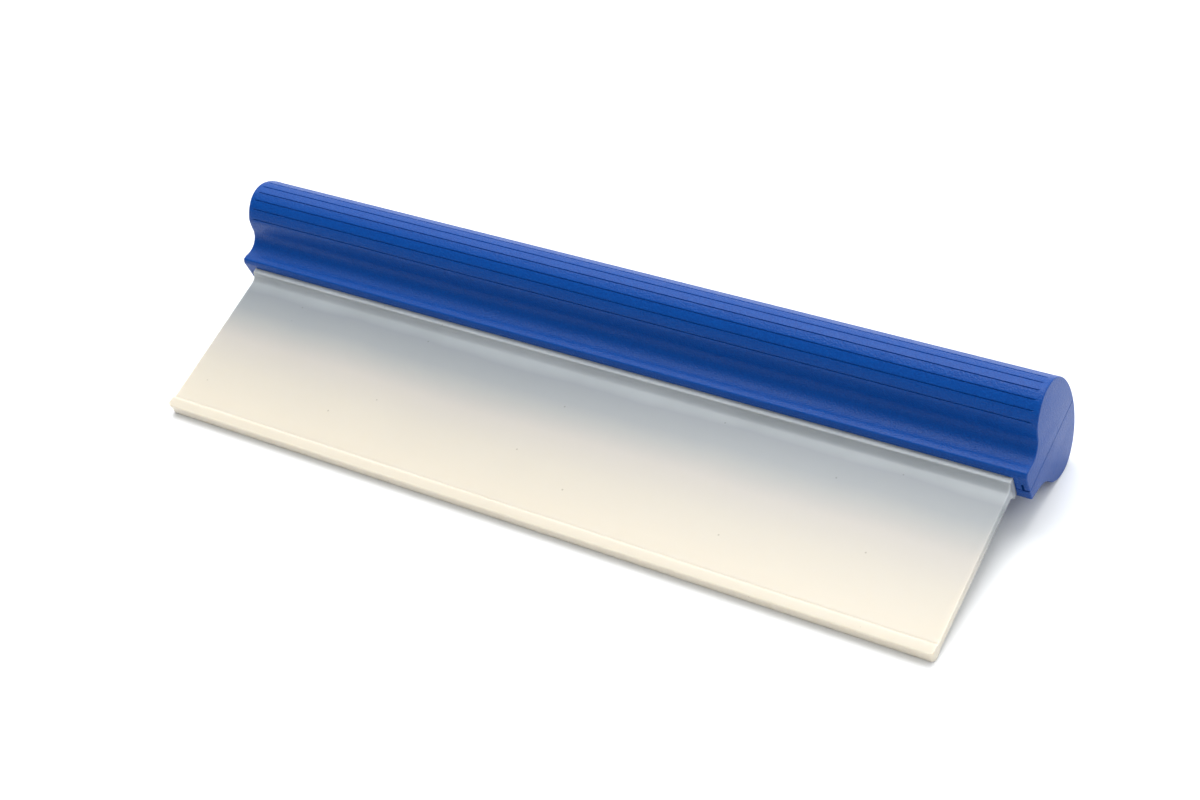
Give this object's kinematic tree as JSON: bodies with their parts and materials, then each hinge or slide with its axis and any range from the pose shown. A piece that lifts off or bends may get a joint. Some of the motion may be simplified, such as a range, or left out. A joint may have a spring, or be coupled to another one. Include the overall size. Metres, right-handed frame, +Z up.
{
  "type": "window cleaning squeegee",
  "caption": "Hand squeegee: a ribbed oval grip made of two screwed shells clamps a translucent flexible silicone blade with a T-shaped wiping edge.",
  "frame": {"origin": "centre of the footprint at ground level, where the head and the wiping edge rest", "axes": "+X along the handle, +Y from the wiping edge to the head, +Z up"},
  "size_m": [0.305, 0.0956, 0.0436],
  "materials": {
    "handle_plastic": "satin, fine moulded grain",
    "silicone": "translucent, smooth",
    "screw_steel": "zinc plated"
  },
  "bodies": {
    "handle": {"upper_shell": "handle_plastic", "lower_shell": "handle_plastic", "blade_root": "silicone", "shell_screw_1": "screw_steel", "shell_screw_2": "screw_steel", "shell_screw_3": "screw_steel", "shell_screw_4": "screw_steel", "shell_screw_5": "screw_steel", "shell_screw_6": "screw_steel"},
    "blade": {"blade_web": "silicone"}
  },
  "joints": [
    {"name": "blade_flex", "type": "hinge", "parent": "handle", "child": "blade", "pos_m": [0, 0.00598, 0.0145], "axis": [1, 0, 0], "range_deg": [-30, 30], "stiffness_Nm_per_rad": 0.35}
  ]
}
